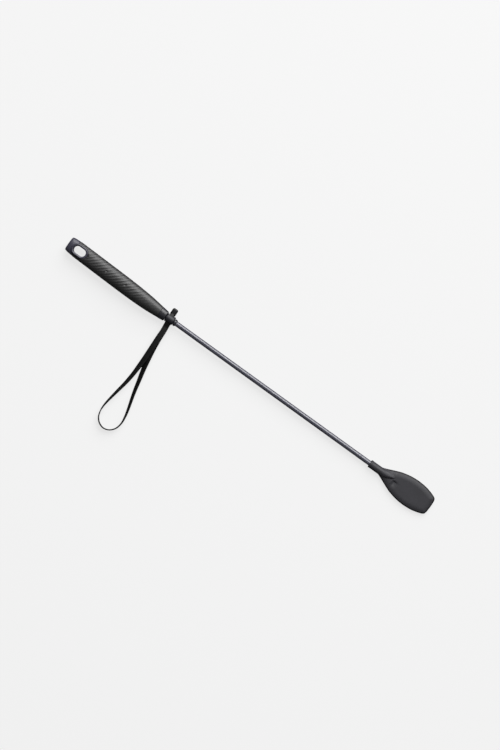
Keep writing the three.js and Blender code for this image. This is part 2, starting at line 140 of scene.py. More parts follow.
# distance from the rod towards the tab, height over the shaft's axis
LAYER_PATH = [
    (12, 1.35),
    (TONGUE_END, 2.2),
    (4.6, 3.7),
    (-2.6, 3.7),
    (-6.4, 2.9),
    (-10.4, 1.45),
    (-13, STACK),
]
TAB_WIDTH = 8.7
TAB_START = 6.6
TAB_END = 17.4
TAB_TURN = math.radians(-4.5)  # against the strap's own lean

NECK_START = 541.5
NECK_RADIUS = 5.9
FLAP_THICKNESS = 4.6
RIM_THICKNESS = 0.5
RIM_WIDTH = 9
EDGE_PAINT = (0.9, 2.3)  # from the flap's edge: all black up to the first, none from the second
NECK_TO_BLADE = (557, 569)  # x between which the round neck turns flat
SWAY = 3.6  # how far the swelling leans towards +Y at its end
SWAY_X = (568, 585)
FILLET = 0.45  # softness of the corner between the swelling and the blade
DIMPLE_PLACE = (586, -1.6)
DIMPLE_DEPTH = 1.35
FOLD_PLACE = (581.8, -4.6)
FOLD_RISE = 0.2
# x, radius of the swelling over the rod's end
NECK_SWELLING = [
    (NECK_START, 5.0),
    (NECK_START + 0.5, NECK_RADIUS),
    (543.8, NECK_RADIUS),
    (544.8, 5.8),
    (562, 5.8),
    (570, 5.3),
    (576, 4.6),
    (580, 3.8),
    (583, 2.9),
    (585, 1.6),
    (586, 0.2),
]
# x, half width
FLAP_OUTLINE = [
    (555, 4.2),
    (560.5, 5.9),
    (567, 8.4),
    (575, 11.8),
    (582, 14.7),
    (589, 17.2),
    (601, 19.9),
    (614, 21),
    (628, 20.1),
    (636, 18.4),
    (643, 16.2),
    (647, 14.3),
    (648.9, 12),
    (649.7, 8),
    (LENGTH, 2),
]

REST_HANDLE_X = 108
REST_HANDLE_HEIGHT = 10.2
REST_NECK_X = 563
TILT = math.atan2(REST_HANDLE_HEIGHT - NECK_RADIUS, REST_NECK_X - REST_HANDLE_X)
LOOP_HEIGHT = STRAP_WIDTH / 2 + 0.2

# The strap's loop: x, y, height above the shaft's axis (None where it stands on the surface) and twist
LOOP_ROUTE = [
    (185.9, -21, STACK, 0),
    (186, -30, 0.8, 4),
    (186.6, -45, 0.1, 12),
    (187, -58, -0.7, 20),
    (187.2, -70, -1.5, 30),
    (187, -84, -2.3, 42),
    (186.6, -97, -3, 50),
    (185.2, -112, -3.7, 57),
    (182.8, -127, -4.3, 64),
    (180.4, -142, None, 71),
    (178.7, -156, None, 80),
    (179.1, -167, None, 87),
    (182.5, -176.4, None, 90),
    (188.6, -182.4, None, 90),
    (197, -185, None, 90),
    (205.6, -182.4, None, 90),
    (212.2, -175, None, 93),
    (214.6, -165, None, 97),
    (213.4, -153, None, 105),
    (210.2, -140, None, 112),
    (206.6, -128, -5, 117),
    (202.9, -115, -4.7, 122),
    (199.6, -101, -4.4, 129),
    (195.4, -84, -3.9, 138),
    (192.3, -70, -3.5, 150),
    (190, -58, -2.8, 160),
    (188, -45, -2, 168),
    (186.4, -30, -1.2, 176),
    (185.9, -21, -STACK, 180),
]

# ---- from the crop's own axis to the row frame ----


def tilt(points):
    """Tips points the way the crop lies, about the butt."""
    p = np.asarray(points, float).reshape(-1, 3)
    c, s = math.cos(TILT), math.sin(TILT)
    return np.stack([c * p[:, 0] + s * p[:, 2], p[:, 1], c * p[:, 2] - s * p[:, 0]], 1)


def row_offset():
    """Where the frame has the butt's place, found from the middle of the shaft's sleeve."""
    low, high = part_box("shaft_sleeve")
    middle = np.array(low + high) / 2 / MM
    return middle - tilt([[(SLEEVE_START + SLEEVE_END) / 2, 0, 0]])[0]


OFFSET = row_offset()


def place(points):
    """Millimetres along the shaft's axis to metres in the row frame."""
    return (tilt(points) + OFFSET) * MM


# ---- curves and sections ----


def column(table, x, k):
    """Smooth interpolation of column k of a table by its first column."""
    rows = np.array(table, float)
    x = np.asarray(x, float)
    last = len(rows) - 1
    i = np.clip(np.searchsorted(rows[:, 0], x, side="right") - 1, 0, last - 1)
    before, after = np.maximum(np.arange(last + 1) - 1, 0), np.minimum(np.arange(last + 1) + 1, last)
    slope = (rows[after, k] - rows[before, k]) / (rows[after, 0] - rows[before, 0])
    span = rows[i + 1, 0] - rows[i, 0]
    t = np.clip((x - rows[i, 0]) / span, 0, 1)
    ease = t * t * (3 - 2 * t)
    bow = slope[i] * t * (1 - t) ** 2 - slope[i + 1] * t * t * (1 - t)
    return rows[i, k] + (rows[i + 1, k] - rows[i, k]) * ease + span * bow


def ramp(value, start, end):
    """Goes smoothly from 0 at start to 1 at end, which may be the lower of the two."""
    t = np.clip((value - start) / (end - start), 0, 1)
    return t * t * (3 - 2 * t)


def curve_through(points, steps):
    """A centripetal Catmull-Rom curve through points, with so many steps between neighbours."""
    p = np.asarray(points, float)
    p = np.vstack([2 * p[0] - p[1], p, 2 * p[-1] - p[-2]])
    gap = np.sqrt(np.linalg.norm(np.diff(p, axis=0), axis=1))
    found = []
    for i in range(1, len(p) - 2):
        a, b, c = gap[i - 1], gap[i], gap[i + 1]
        leave = ((p[i] - p[i - 1]) / a - (p[i + 1] - p[i - 1]) / (a + b) + (p[i + 1] - p[i]) / b) * b
        reach = ((p[i + 1] - p[i]) / b - (p[i + 2] - p[i]) / (b + c) + (p[i + 2] - p[i + 1]) / c) * b
        t = (np.arange(steps) / steps)[:, None]
        rise = p[i + 1] - p[i]
        found.append(
            p[i] + leave * t + (3 * rise - 2 * leave - reach) * t**2 + (leave + reach - 2 * rise) * t**3
        )
    return np.vstack([*found, p[-2][None]])


def handle_axis_y(x):
    """The handle's axis runs slightly aslant, and meets the shaft's at BEND_X."""
    return BUTT_SHIFT * np.maximum(0, 1 - x / BEND_X)


def handle_ring(x, angles, inset=0.0):
    """Points round the handle at x, this far inside its surface."""
    a = column(HANDLE_SECTIONS, x, 1) - inset
    b = column(HANDLE_SECTIONS, x, 2) - inset
    cos, sin = np.cos(angles), np.sin(angles)
    power = 2 / OVAL_POWER
    y = a * np.sign(cos) * np.abs(cos) ** power
    z = b * np.sign(sin) * np.abs(sin) ** power
    return np.stack([np.full_like(y, x), handle_axis_y(x) + y, z], -1)


# ---- meshes ----

SQUARE = [(-1, -1), (1, -1), (1, 1), (-1, 1)]


def grid_faces(rows, columns):
    """Quads between neighbouring closed rings of points."""
    i, j = np.mgrid[0 : rows - 1, 0:columns]
    k = (j + 1) % columns
    quads = [i * columns + j, i * columns + k, (i + 1) * columns + k, (i + 1) * columns + j]
    return np.stack(quads, -1).reshape(-1, 4).tolist()


def tidy_mesh(mesh, crease):
    """Outward faces and smooth shading, sharp only over steep edges."""
    work = bmesh.new()
    work.from_mesh(mesh)
    bmesh.ops.recalc_face_normals(work, faces=work.faces)
    work.to_mesh(mesh)
    work.free()
    mesh.shade_smooth()
    mesh.set_sharp_from_angle(angle=math.radians(crease))


def build(name, points, faces, crease=40):
    """A new object from points on the crop's own axis."""
    mesh = bpy.data.meshes.new(name)
    mesh.from_pydata(place(points).tolist(), [], faces)
    tidy_mesh(mesh, crease)
    obj = bpy.data.objects.new(name, mesh)
    bpy.context.scene.collection.objects.link(obj)
    return obj


def loft(name, rings, crease=40):
    """A closed skin through equal rings, with flat ends."""
    rings = np.asarray(rings, float)
    rows, columns = rings.shape[:2]
    ends = [list(range(columns)), list(range((rows - 1) * columns, rows * columns))]
    return build(name, rings.reshape(-1, 3), grid_faces(rows, columns) + ends, crease)


def turned(name, profile, sides=128):
    """A piece turned about the shaft's axis, from (x, radius) pairs."""
    angles = np.linspace(0, 2 * math.pi, sides, endpoint=False)
    rings = [[(x, r * math.cos(a), r * math.sin(a)) for a in angles] for x, r in profile]
    return loft(name, rings)


def rounded_profile(profile):
    """A smoother profile through the same (x, radius) pairs."""
    flat = [(x, r, 0) for x, r in profile]
    return [(x, r) for x, r, _ in curve_through(flat, steps=6)]


def apply_modifiers(obj):
    """Makes what obj's modifiers show its own mesh."""
    shown = obj.evaluated_get(bpy.context.evaluated_depsgraph_get())
    mesh = bpy.data.meshes.new_from_object(shown)
    obj.modifiers.clear()
    obj.data = mesh


def cut(obj, cutter):
    """Takes cutter out of obj, and removes it."""
    step = obj.modifiers.new("cut", "BOOLEAN")
    step.operation = "DIFFERENCE"
    step.solver = "EXACT"
    step.object = cutter
    apply_modifiers(obj)
    bpy.data.objects.remove(cutter)


def joined(obj, other):
    """Adds the mesh of other to obj, and removes it."""
    work = bmesh.new()
    work.from_mesh(obj.data)
    work.from_mesh(other.data)
    work.to_mesh(obj.data)
    work.free()
    bpy.data.objects.remove(other)


def moulded(obj, voxel, passes):
    """Makes obj one even skin whose edges are as round as a moulding's."""
    remesh = obj.modifiers.new("remesh", "REMESH")
    remesh.mode = "VOXEL"
    remesh.voxel_size = voxel * MM
    relax = obj.modifiers.new("relax", "SMOOTH")
    relax.factor = 0.5
    relax.iterations = passes
    apply_modifiers(obj)
    obj.data.shade_smooth()


def finish_piece(obj, material, slot, body, *nodes):
    """Gives a piece its material and its place in the frame."""
    obj.data.materials.clear()
    obj.data.materials.append(material)
    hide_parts(*nodes)
    if body:
        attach(obj, body)


# ---- materials ----


class Nodes:
    """Short calls for building one material's nodes."""

    def __init__(self, name, color, roughness):
        self.material = bpy.data.materials.new(name)
        self.material.use_nodes = True
        self.tree = self.material.node_tree
        self.shader = self.tree.nodes["Principled BSDF"]
        self.set(**{"Base Color": (*color, 1), "Roughness": roughness})
        self.place = self.add("ShaderNodeTexCoord").outputs["Object"]

    def add(self, kind):
        return self.tree.nodes.new(kind)

    def link(self, output, entry):
        self.tree.links.new(output, entry)

    def set(self, **values):
        for name, value in values.items():
            self.shader.inputs[name].default_value = value

    def noise(self, scale, detail=3.0):
        node = self.add("ShaderNodeTexNoise")
        self.link(self.place, node.inputs["Vector"])
        node.inputs["Scale"].default_value = scale
        node.inputs["Detail"].default_value = detail
        return node.outputs["Fac"]

    def cells(self, scale):
        node = self.add("ShaderNodeTexVoronoi")
        self.link(self.place, node.inputs["Vector"])
        node.inputs["Scale"].default_value = scale
        return node.outputs["Distance"]

    def remap(self, value, start, end, low, high):
        """Maps start..end of a value to low..high."""
        node = self.add("ShaderNodeMapRange")
        self.link(value, node.inputs["Value"])
        for entry, number in (("From Min", start), ("From Max", end), ("To Min", low), ("To Max", high)):
            node.inputs[entry].default_value = number
        return node.outputs["Result"]

    def spread(self, value, low, high):
        """Maps a noise's middle range to low..high."""
        return self.remap(value, 0.3, 0.7, low, high)

    def mix(self, share):
        """Makes the base colour a mix, and returns the inputs for its two colours."""
        node = self.add("ShaderNodeMix")
        node.data_type = "RGBA"
        self.link(share, node.inputs[0])
        self.link(node.outputs[2], self.shader.inputs["Base Color"])
        return node.inputs[6], node.inputs[7]

    def tones(self, value, low, high):
        """The base colour varies between two tones."""
        first, second = self.mix(self.spread(value, 0.0, 1.0))
        first.default_value = (*low, 1)
        second.default_value = (*high, 1)

    def bump(self, *layers):
        """Stacks (height, strength, distance in mm) layers of relief."""
        normal = None
        for height, strength, distance in layers:
            node = self.add("ShaderNodeBump")
            self.link(height, node.inputs["Height"])
            node.inputs["Strength"].default_value = strength
            node.inputs["Distance"].default_value = distance * MM
            if normal:
                self.link(normal, node.inputs["Normal"])
            normal = node.outputs["Normal"]
        self.link(normal, self.shader.inputs["Normal"])


def core_plastic(name, tone, roughness, gloss=0.5):
    """Blue-black moulded plastic with a satin gloss."""
    color = np.array(tone)
    n = Nodes(name, tone, roughness)
    n.set(**{"Specular IOR Level": gloss})
    n.tones(n.noise(60), tuple(0.88 * color), tuple(1.12 * color))
    n.link(n.spread(n.noise(900), roughness - 0.03, roughness + 0.03), n.shader.inputs["Roughness"])
    n.bump((n.noise(2600), 0.08, 0.05))
    return n.material


def grip_rubber():
    """Black rubber of slightly uneven tone, with a fine grain."""
    n = Nodes("grip_rubber", (0.013, 0.013, 0.013), 0.5)
    n.set(**{"Specular IOR Level": 0.6})
    n.tones(n.noise(220, 4), (0.011, 0.011, 0.011), (0.018, 0.018, 0.018))
    n.link(n.spread(n.noise(500), 0.46, 0.54), n.shader.inputs["Roughness"])
    n.bump((n.noise(1500, 5), 0.2, 0.1), (n.cells(2200), 0.15, 0.06))
    return n.material


def shaft_lacquer():
    """Grey lacquer over a woven sleeve: the weave's ends run round the shaft both ways."""
    dark, light = (0.061, 0.061, 0.08), (0.066, 0.066, 0.086)
    n = Nodes("shaft_lacquer", dark, 0.2)
    n.set(**{"Specular IOR Level": 0.6})
    weave = n.add("ShaderNodeUVMap").outputs["UV"]
    ways = []
    for turn in (1, -1):
        lean = n.add("ShaderNodeMapping")
        lean.inputs["Rotation"].default_value[2] = turn * math.radians(45)
        n.link(weave, lean.inputs["Vector"])
        wave = n.add("ShaderNodeTexWave")
        wave.inputs["Scale"].default_value = 0.34
        n.link(lean.outputs["Vector"], wave.inputs["Vector"])
        ways.append(wave.outputs["Fac"])
    both = n.add("ShaderNodeMath")
    both.operation = "MULTIPLY"
    n.link(ways[0], both.inputs[0])
    n.link(ways[1], both.inputs[1])
    n.tones(both.outputs[0], dark, light)
    return n.material


def strap_leather():
    """Black coated webbing with a fine grain."""
    n = Nodes("strap_leather", (0.005, 0.005, 0.005), 0.5)
    n.set(**{"Specular IOR Level": 0.18})
    n.tones(n.noise(180, 4), (0.004, 0.004, 0.004), (0.0075, 0.0075, 0.0075))
    n.bump((n.cells(1500), 0.35, 0.1), (n.noise(900, 5), 0.25, 0.1))
    return n.material


def tab_rubber():
    """Black moulded rubber."""
    n = Nodes("tab_rubber", (0.006, 0.006, 0.0065), 0.42)
    n.set(**{"Specular IOR Level": 0.22})
    n.tones(n.noise(300), (0.005, 0.005, 0.0055), (0.008, 0.008, 0.0085))
    n.bump((n.noise(2200), 0.15, 0.05))
    return n.material


def flap_leather():
    """Charcoal synthetic leather with a faint purple cast."""
    gloss = 0.35
    n = Nodes("flap_leather", (0.031, 0.0295, 0.034), 0.55)
    n.set(**{"Specular IOR Level": gloss})
    n.tones(n.noise(70, 4), (0.0228, 0.0224, 0.026), (0.028, 0.0275, 0.0325))
    n.link(n.spread(n.noise(350, 4), 0.5, 0.6), n.shader.inputs["Roughness"])
    n.bump((n.cells(900), 0.25, 0.12), (n.noise(420, 5), 0.22, 0.2))
    paint_edge(n, gloss)
    return n.material


def paint_edge(n, plain_gloss):
    """Black paint along the edge: the piece's map holds the distance from it in millimetres."""
    paint_tone, paint_gloss = (0.006, 0.006, 0.0065), 0.12
    split = n.add("ShaderNodeSeparateXYZ")
    n.link(n.add("ShaderNodeUVMap").outputs["UV"], split.inputs[0])
    from_edge = split.outputs["X"]
    unpainted = n.shader.inputs["Base Color"].links[0].from_socket
    paint, rest = n.mix(n.remap(from_edge, *EDGE_PAINT, 0.0, 1.0))
    paint.default_value = (*paint_tone, 1)
    n.link(unpainted, rest)
    gloss = n.remap(from_edge, *EDGE_PAINT, paint_gloss, plain_gloss)
    n.link(gloss, n.shader.inputs["Specular IOR Level"])


# ---- handle ----


def obround(grow):
    """The eye's outline, grown by so much, anticlockwise from above."""
    radius = EYE_WIDTH / 2 + grow
    half = (EYE_LENGTH - EYE_WIDTH) / 2
    right = np.linspace(-math.pi / 2, math.pi / 2, 24)
    left = right + math.pi
    x = np.concatenate([half + radius * np.cos(right), -half + radius * np.cos(left)])
    y = np.concatenate([radius * np.sin(right), radius * np.sin(left)])
    return EYE_X + x, handle_axis_y(EYE_X) + y


def eye_prism(name, levels):
    """A stack of eye outlines, from (height, growth) pairs."""
    rings = []
    for z, grow in levels:
        x, y = obround(grow)
        rings.append(np.stack([x, y, np.full_like(x, z)], -1))
    return loft(name, rings)


def mirrored(levels):
    """The upper half's levels and their mirror images, from the bottom up."""
    return [(-z, grow) for z, grow in reversed(levels)] + levels


def butt():
    """The butt and the raised lip round the eye, down to where the grip hides the core."""
    angles = np.linspace(0, 2 * math.pi, 96, endpoint=False)
    bare = [0, 0.2, 0.5, 0.9, 1.5, 2.4, 3.5, 5, 7, 9, 11, GRIP_START - 0.2]
    hidden = [GRIP_START - 0.1, 16, 20, 26, 32, 38]
    rings = [handle_ring(x, angles) for x in bare] + [handle_ring(x, angles, GRIP_WAIST) for x in hidden]
    body = loft("butt_and_eye", rings)
    lip = eye_prism("lip", mirrored([(LIP_SHOULDER, LIP_REACH), (LIP_TOP, LIP_CREST + LIP_FLAT)]))
    # straight through the middle, then opening out, and on past the lip's top for a clean cut
    hole = mirrored([(LIP_FOOT - 1.5, 0), (LIP_FOOT, 0.1), (LIP_TOP, LIP_CREST), (LIP_TOP + 2, LIP_CREST)])
    cut(body, eye_prism("eye", hole))
    cut(lip, eye_prism("eye", hole))
    joined(body, lip)
    moulded(body, BUTT_VOXEL, 2)
    return body


def rib_relief(x, angle):
    """How far the ribbed surface lies inside the plain handle: less than 0 on the crests."""
    phase = x / RIB_PITCH + RIB_STARTS * angle / (2 * math.pi)
    share = phase - np.floor(phase)
    groove = np.abs(np.cos(math.pi * share)) ** RIB_SHARPNESS
    lean = RIB_LEAN * share * ramp(share, 1, 0.75)
    fade = 1 - RIB_FADED * ramp(x, *RIB_FADE)
    ends = ramp(x, GRIP_START, GRIP_START + 3) * ramp(x, GRIP_END, GRIP_END - 6)
    side = 0.3 + 0.7 * ramp(np.cos(angle), -0.75, -0.05)  # weaker on the strap's side
    clear = ramp(np.sin(angle), -1, -0.6)  # no crest stands out where the handle rests
    return RIB_DEPTH * (groove + lean) * fade * ends * side - RIB_RISE * ends * clear


def pit_relief(points):
    """Small moulded pits along the grip, above and below, drawn out along the ribs."""
    found = np.zeros(points.shape[:-1])
    side = np.sign(points[..., 2])
    for x, y in PIT_PLACES:
        dx = points[..., 0] - x
        dy = points[..., 1] - y
        along = dx * math.cos(RIB_SLOPE) + side * dy * math.sin(RIB_SLOPE)
        across = side * dy * math.cos(RIB_SLOPE) - dx * math.sin(RIB_SLOPE)
        reach = np.hypot(along / PIT_SIZE[0], across / PIT_SIZE[1])
        found = np.maximum(found, PIT_DEPTH * ramp(reach, 1.25, 0.25) * (side != 0))
    return found


def eye_distance(points):
    """Distance outside the eye's outline, seen from above."""
    half = (EYE_LENGTH - EYE_WIDTH) / 2
    x = np.maximum(np.abs(points[..., 0] - EYE_X) - half, 0)
    y = points[..., 1] - handle_axis_y(EYE_X)
    return np.hypot(x, y) - EYE_WIDTH / 2


def rolled_end(from_end, radius):
    """How far a rolled-over end has dropped, by the distance from it."""
    short = min(radius, max(0.0, radius - from_end))
    return radius - math.sqrt(max(0.0, radius**2 - short**2))


def grip_depth(x, ring, angles):
    """How far the grip's surface lies inside the plain handle."""
    ends = rolled_end(x - GRIP_START, GRIP_REAR_ROLL) + rolled_end(GRIP_END - x, GRIP_FRONT_ROLL)
    clear = eye_distance(ring) - LIP_REACH
    lip_groove = 0.45 * np.exp(-((clear / 0.5) ** 2))
    lip_room = np.maximum(np.abs(ring[:, 2]) - LIP_TOP + LIP_STAND - 0.5 * np.maximum(clear, 0), 0)
    ribs = rib_relief(x, angles) * ramp(clear, 0, 2.5)
    return ribs + pit_relief(ring) + ends + lip_groove + lip_room


def handle_outward(x, ring):
    """The direction out of the handle at each point of a ring, straight across its axis."""
    outward = ring - [x, handle_axis_y(x), 0]
    outward[:, 1] /= column(HANDLE_SECTIONS, x, 1) ** 2
    outward[:, 2] /= column(HANDLE_SECTIONS, x, 2) ** 2
    return outward / np.linalg.norm(outward, axis=1)[:, None]


def drop_loose_points(mesh):
    work = bmesh.new()
    work.from_mesh(mesh)
    bmesh.ops.delete(work, geom=[v for v in work.verts if not v.link_faces], context="VERTS")
    work.to_mesh(mesh)
    work.free()


def grip():
    """The rubber grip with real ribs, open round the eye's lip."""
    angles = np.linspace(0, 2 * math.pi, 208, endpoint=False)
    rings = [handle_ring(GRIP_START, angles, GRIP_WAIST)]
    for x in np.arange(GRIP_START, GRIP_END + 0.1, 0.34):
        ring = handle_ring(x, angles)
        rings.append(ring - handle_outward(x, ring) * grip_depth(x, ring, angles)[:, None])
    rings.append(handle_ring(GRIP_END, angles, GRIP_WAIST))
    rings = np.array(rings)
    points = rings.reshape(-1, 3)
    inside = eye_distance(points) < GRIP_HOLE
    faces = [f for f in grid_faces(*rings.shape[:2]) if not inside[f].any()]
    obj = build("grip_ribbed", points, faces, 60)
    drop_loose_points(obj.data)
    obj.data.shade_smooth()
    return obj


def nose():
    """The core's plastic in front of the grip, with a rounded front edge."""
    angles = np.linspace(0, 2 * math.pi, 128, endpoint=False)
    rings = [handle_ring(x, angles, GRIP_WAIST) for x in (158, GRIP_END - 0.6, GRIP_END + 0.05)]
    rear = ((0, 0.3), (0.1, 0.12), (0.3, 0.03))  # distance from the grip, inset
    front = ((0.6, 0.05), (0.25, 0.2), (0, 0.6))  # distance from the front end, inset
    rings += [handle_ring(GRIP_END + 0.05 + x, angles, inset) for x, inset in rear]
    rings += [handle_ring(x, angles) for x in np.linspace(GRIP_END + 0.8, HANDLE_END - 1.1, 24)]
    rings += [handle_ring(HANDLE_END - x, angles, inset) for x, inset in front]
    return loft("nose_plastic", rings, 50)


# ---- collar, ring and shaft ----


def along_strap(x, y, z):
    """A place by its distance across the strap, towards the tab and up, in the collar's middle."""
    c, s = math.cos(STRAP_SKEW), math.sin(STRAP_SKEW)
    return (STRAP_X + c * x - s * y, s * x + c * y, z)


def box_piece(name, half_x, half_y, half_z):
    rings = [[along_strap(x * half_x, y * half_y, z * half_z) for x, y in SQUARE] for z in (-1, 1)]
    return loft(name, rings)


def collar():
    """The barrel with its slot for the strap and its bore for the rod."""
    shoulder = [(0, COLLAR_EDGE_RADIUS - 0.3), (0.25, COLLAR_EDGE_RADIUS), (0.8, 6.55), (2.6, 6.85)]
    rear = [(COLLAR_START + x, r) for x, r in shoulder]
    front = [(COLLAR_END - x, r) for x, r in reversed(shoulder)]
    barrel = turned("collar_barrel", rounded_profile([*rear, (STRAP_X, COLLAR_RADIUS), *front]))
    cut(barrel, box_piece("slot", STRAP_WIDTH / 2 + 0.3, 3 * COLLAR_RADIUS, SLOT_HALF_HEIGHT))
    cut(barrel, turned("bore", [(COLLAR_START - 1, ROD_BORE), (COLLAR_END + 1, ROD_BORE)]))
    moulded(barrel, COLLAR_VOXEL, 4)
    return barrel


def front_ring():
    """The ring that covers the sleeve's end, rounded, with a step down to the sleeve."""
    outline = [
        (RING_START, RING_BORE),
        (RING_START, RING_RADIUS - 1.1),
        (RING_START + 0.35, RING_RADIUS - 0.45),
        (RING_START + 1.1, RING_RADIUS - 0.08),
        (RING_START + 2.2, RING_RADIUS),
        (RING_END - 1.0, RING_RADIUS - 0.25),
        (RING_END - 0.3, RING_RADIUS - 0.75),
        (RING_END, SLEEVE_RADIUS + 0.25),
        (RING_END, RING_BORE),
    ]
    return turned("front_ring_cap", outline[:1] + rounded_profile(outline[1:-1]) + outline[-1:])


def shaft():
    """The lacquered sleeve, with a map of its surface in millimetres for the weave."""
    sides = 96
    stations = np.linspace(SLEEVE_START - 0.2, SLEEVE_END, 372)
    obj = turned("shaft_lacquered", [(x, SLEEVE_RADIUS) for x in stations], sides)
    layer = obj.data.uv_layers.new(name="weave")
    for face in obj.data.polygons:
        places = [obj.data.loops[i].vertex_index for i in face.loop_indices]
        columns = [p % sides for p in places]
        wraps = max(columns) - min(columns) > sides / 2
        for loop, p, c in zip(face.loop_indices, places, columns):
            turn = c + (sides if wraps and c == 0 else 0)
            layer.data[loop].uv = (WEAVE_ROUND * turn / sides, stations[p // sides])
    return obj


# ---- wrist strap and its moulded end ----


def surface_z(x):
    """The surface that the crop lies on, seen from the shaft's axis."""
    return -REST_HANDLE_HEIGHT + (x - REST_HANDLE_X) * math.tan(TILT)


def strap_section():
    """The strap's section: rounded edges and a shallow crease along each side of both faces."""
    half, thick = STRAP_WIDTH / 2, STRAP_THICKNESS / 2
    corner = [(half, 0.25), (half - 0.08, 0.52), (half - 0.28, 0.72), (half - 0.6, thick)]
    crease = [(half - 1.0, thick - 0.02), (half - 1.2, thick - 0.16), (half - 1.4, thick - 0.02)]
    field = [(half - 2.0, thick), (1.0, thick)]
    quarter = corner + crease + field
    upper = quarter + [(-u, v) for u, v in reversed(quarter)]
    return np.array(upper + [(-u, -v) for u, v in upper])


def strap_route():
    """x, y, height and twist along the band: over the rod, round the loop and back under the rod."""
    over = [(*along_strap(0, y, z), 0) for y, z in LAYER_PATH]
    under = [(x, y, -z, 180) for x, y, z, _ in reversed(over)]
    loop = [(x, y, surface_z(x) + LOOP_HEIGHT if z is None else z, turn) for x, y, z, turn in LOOP_ROUTE]
    leave = (*along_strap(0, -HINGE_REACH, STACK), 0)
    come_back = (*along_strap(0, -HINGE_REACH, -STACK), 180)
    return np.array([*over, leave, *loop, come_back, *under])


def strap():
    """One flat band along its route, with its ends narrowed inside the moulded end."""
    route = strap_route()
    middles = curve_through(route[:, :3], steps=12)
    marks = np.arange(len(route))
    twist = column(list(zip(marks, route[:, 3])), np.linspace(0, marks[-1], len(middles)), 1)
    twist = np.radians(twist)[:, None]
    tangent = np.gradient(middles, axis=0)
    tangent /= np.linalg.norm(tangent, axis=1)[:, None]
    flat = np.cross([0, 0, 1], tangent)
    flat /= np.linalg.norm(flat, axis=1)[:, None]
    lift = np.cross(tangent, flat)
    across = flat * np.cos(twist) + lift * np.sin(twist)
    up = lift * np.cos(twist) - flat * np.sin(twist)
    section = strap_section()
    narrowing = ramp(middles[:, 1], TONGUE_FROM, TONGUE_END)
    across *= (1 - (1 - TONGUE_WIDTH / STRAP_WIDTH) * narrowing)[:, None]
    rings = middles[:, None] + across[:, None] * section[None, :, :1] + up[:, None] * section[None, :, 1:]
    return loft("strap_band", rings, 50)


def tab():
    """The strap's moulded end: a rounded lozenge with a bevelled edge and a flat middle."""
    angles = np.linspace(0, 2 * math.pi, 96, endpoint=False)
    half_length = (TAB_END - TAB_START) / 2
    bevel = [(2.7, 1.9), (2.62, 1.35), (2.3, 0.85), (1.9, 0.35), (1.3, 0.08), (0.5, 0)]  # height, inset
    c, s = math.cos(TAB_TURN), math.sin(TAB_TURN)
    rings = []
    for z, inset in [(-z, inset) for z, inset in bevel] + bevel[::-1]:
        ring = []
        for a in angles:
            power = 0.5 if math.sin(a) > 0 else 0.25  # rounder at the free end
            u = (TAB_WIDTH / 2 - inset) * math.copysign(abs(math.cos(a)) ** power, math.cos(a))
            v = (half_length - inset) * math.copysign(abs(math.sin(a)) ** power, math.sin(a)) + half_length
            ring.append(along_strap(c * u - s * v, TAB_START + s * u + c * v, z))
        rings.append(ring)
    return loft("tab_moulded", rings, 50)


# ---- flap ----


def edge_distance(x, y):
    """Distance of each place on the flap from its outline."""
    tip = LENGTH - 5 * (1 - np.linspace(0, 1, 160)) ** 3
    stations = np.concatenate([np.linspace(FLAP_OUTLINE[0][0], 644.8, 180), tip])
    side = np.stack([stations, column(FLAP_OUTLINE, stations, 1)], -1)
    end = np.stack([np.full(9, LENGTH), np.linspace(FLAP_OUTLINE[-1][1], 0, 9)], -1)
    line = np.vstack([side, end])
    return np.min(np.hypot(x[..., None] - line[:, 0], np.abs(y)[..., None] - line[:, 1]), -1)


def blade_height(x, y):
    """Half the blade's height: thin at its rim, and next to nothing on the round neck."""
    flat = ramp(x, *NECK_TO_BLADE)
    rim = RIM_THICKNESS / 2 * flat + 0.1
    share = np.clip(edge_distance(x, y) / RIM_WIDTH, 0, 1)
    bevel = 1 - (1 - share) ** (1.9 + 0.5 * ramp(y, 6, -6))  # steeper towards -Y
    return rim + (FLAP_THICKNESS / 2 - rim) * bevel * flat


def swelling_height(x, aside):
    """Height of the swelling over the rod's end, by how far towards +Y of its crest."""
    fade = ramp(x, 562, 576)  # its side towards +Y ends sooner and flows into the blade
    radius = column(NECK_SWELLING, x + 1.3 * fade * np.maximum(aside, 0), 1)
    across = np.where(aside > 0, (1 - 0.55 * fade) * aside, aside)
    return np.sqrt(np.maximum(radius**2 - across**2, 0))


def dimple(x, y):
    """Depth of the pressed mark just past the rod's end, less the short fold raised beside it."""
    along, aside = x - DIMPLE_PLACE[0], y - DIMPLE_PLACE[1]
    slope = np.where(aside < 0, 7, 1.5)  # steep only towards +Y
    mark = np.exp(-((along / np.where(along < 0, 2.4, 4.6)) ** 2) - (aside / slope) ** 2)
    fold_end = ramp(np.abs(y - FOLD_PLACE[1]), 3.6, 1.2)
    fold = np.exp(-(((x - FOLD_PLACE[0]) / 0.9) ** 2)) * fold_end
    return DIMPLE_DEPTH * mark - FOLD_RISE * fold


def flap_height(x, y):
    """Half the flap's height over its middle plane."""
    blade = blade_height(x, y)
    aside = y - SWAY * ramp(x, *SWAY_X)
    swelling = swelling_height(x, aside)
    height = (blade + swelling + np.hypot(blade - swelling, FILLET)) / 2 - 0.16
    valley = np.exp(-(((blade - swelling) / FILLET) ** 2)) * ramp(aside, 2, 0)
    crease = 0.35 * valley * ramp(x, 566, 572) * ramp(x, LENGTH - 20, LENGTH - 40)
    return np.maximum(height - crease - dimple(x, y), 0.1)


def flap_stations():
    """Places along the flap, closest together where its shape changes most."""
    runs = [(NECK_START, 546, 19), (546.5, 562, 32), (562.5, 594, 100), (594.8, 644, 64)]
    tip = LENGTH - 5.6 * (1 - np.linspace(0, 1, 26)) ** 1.7
    return np.concatenate([*(np.linspace(*run) for run in runs), tip])


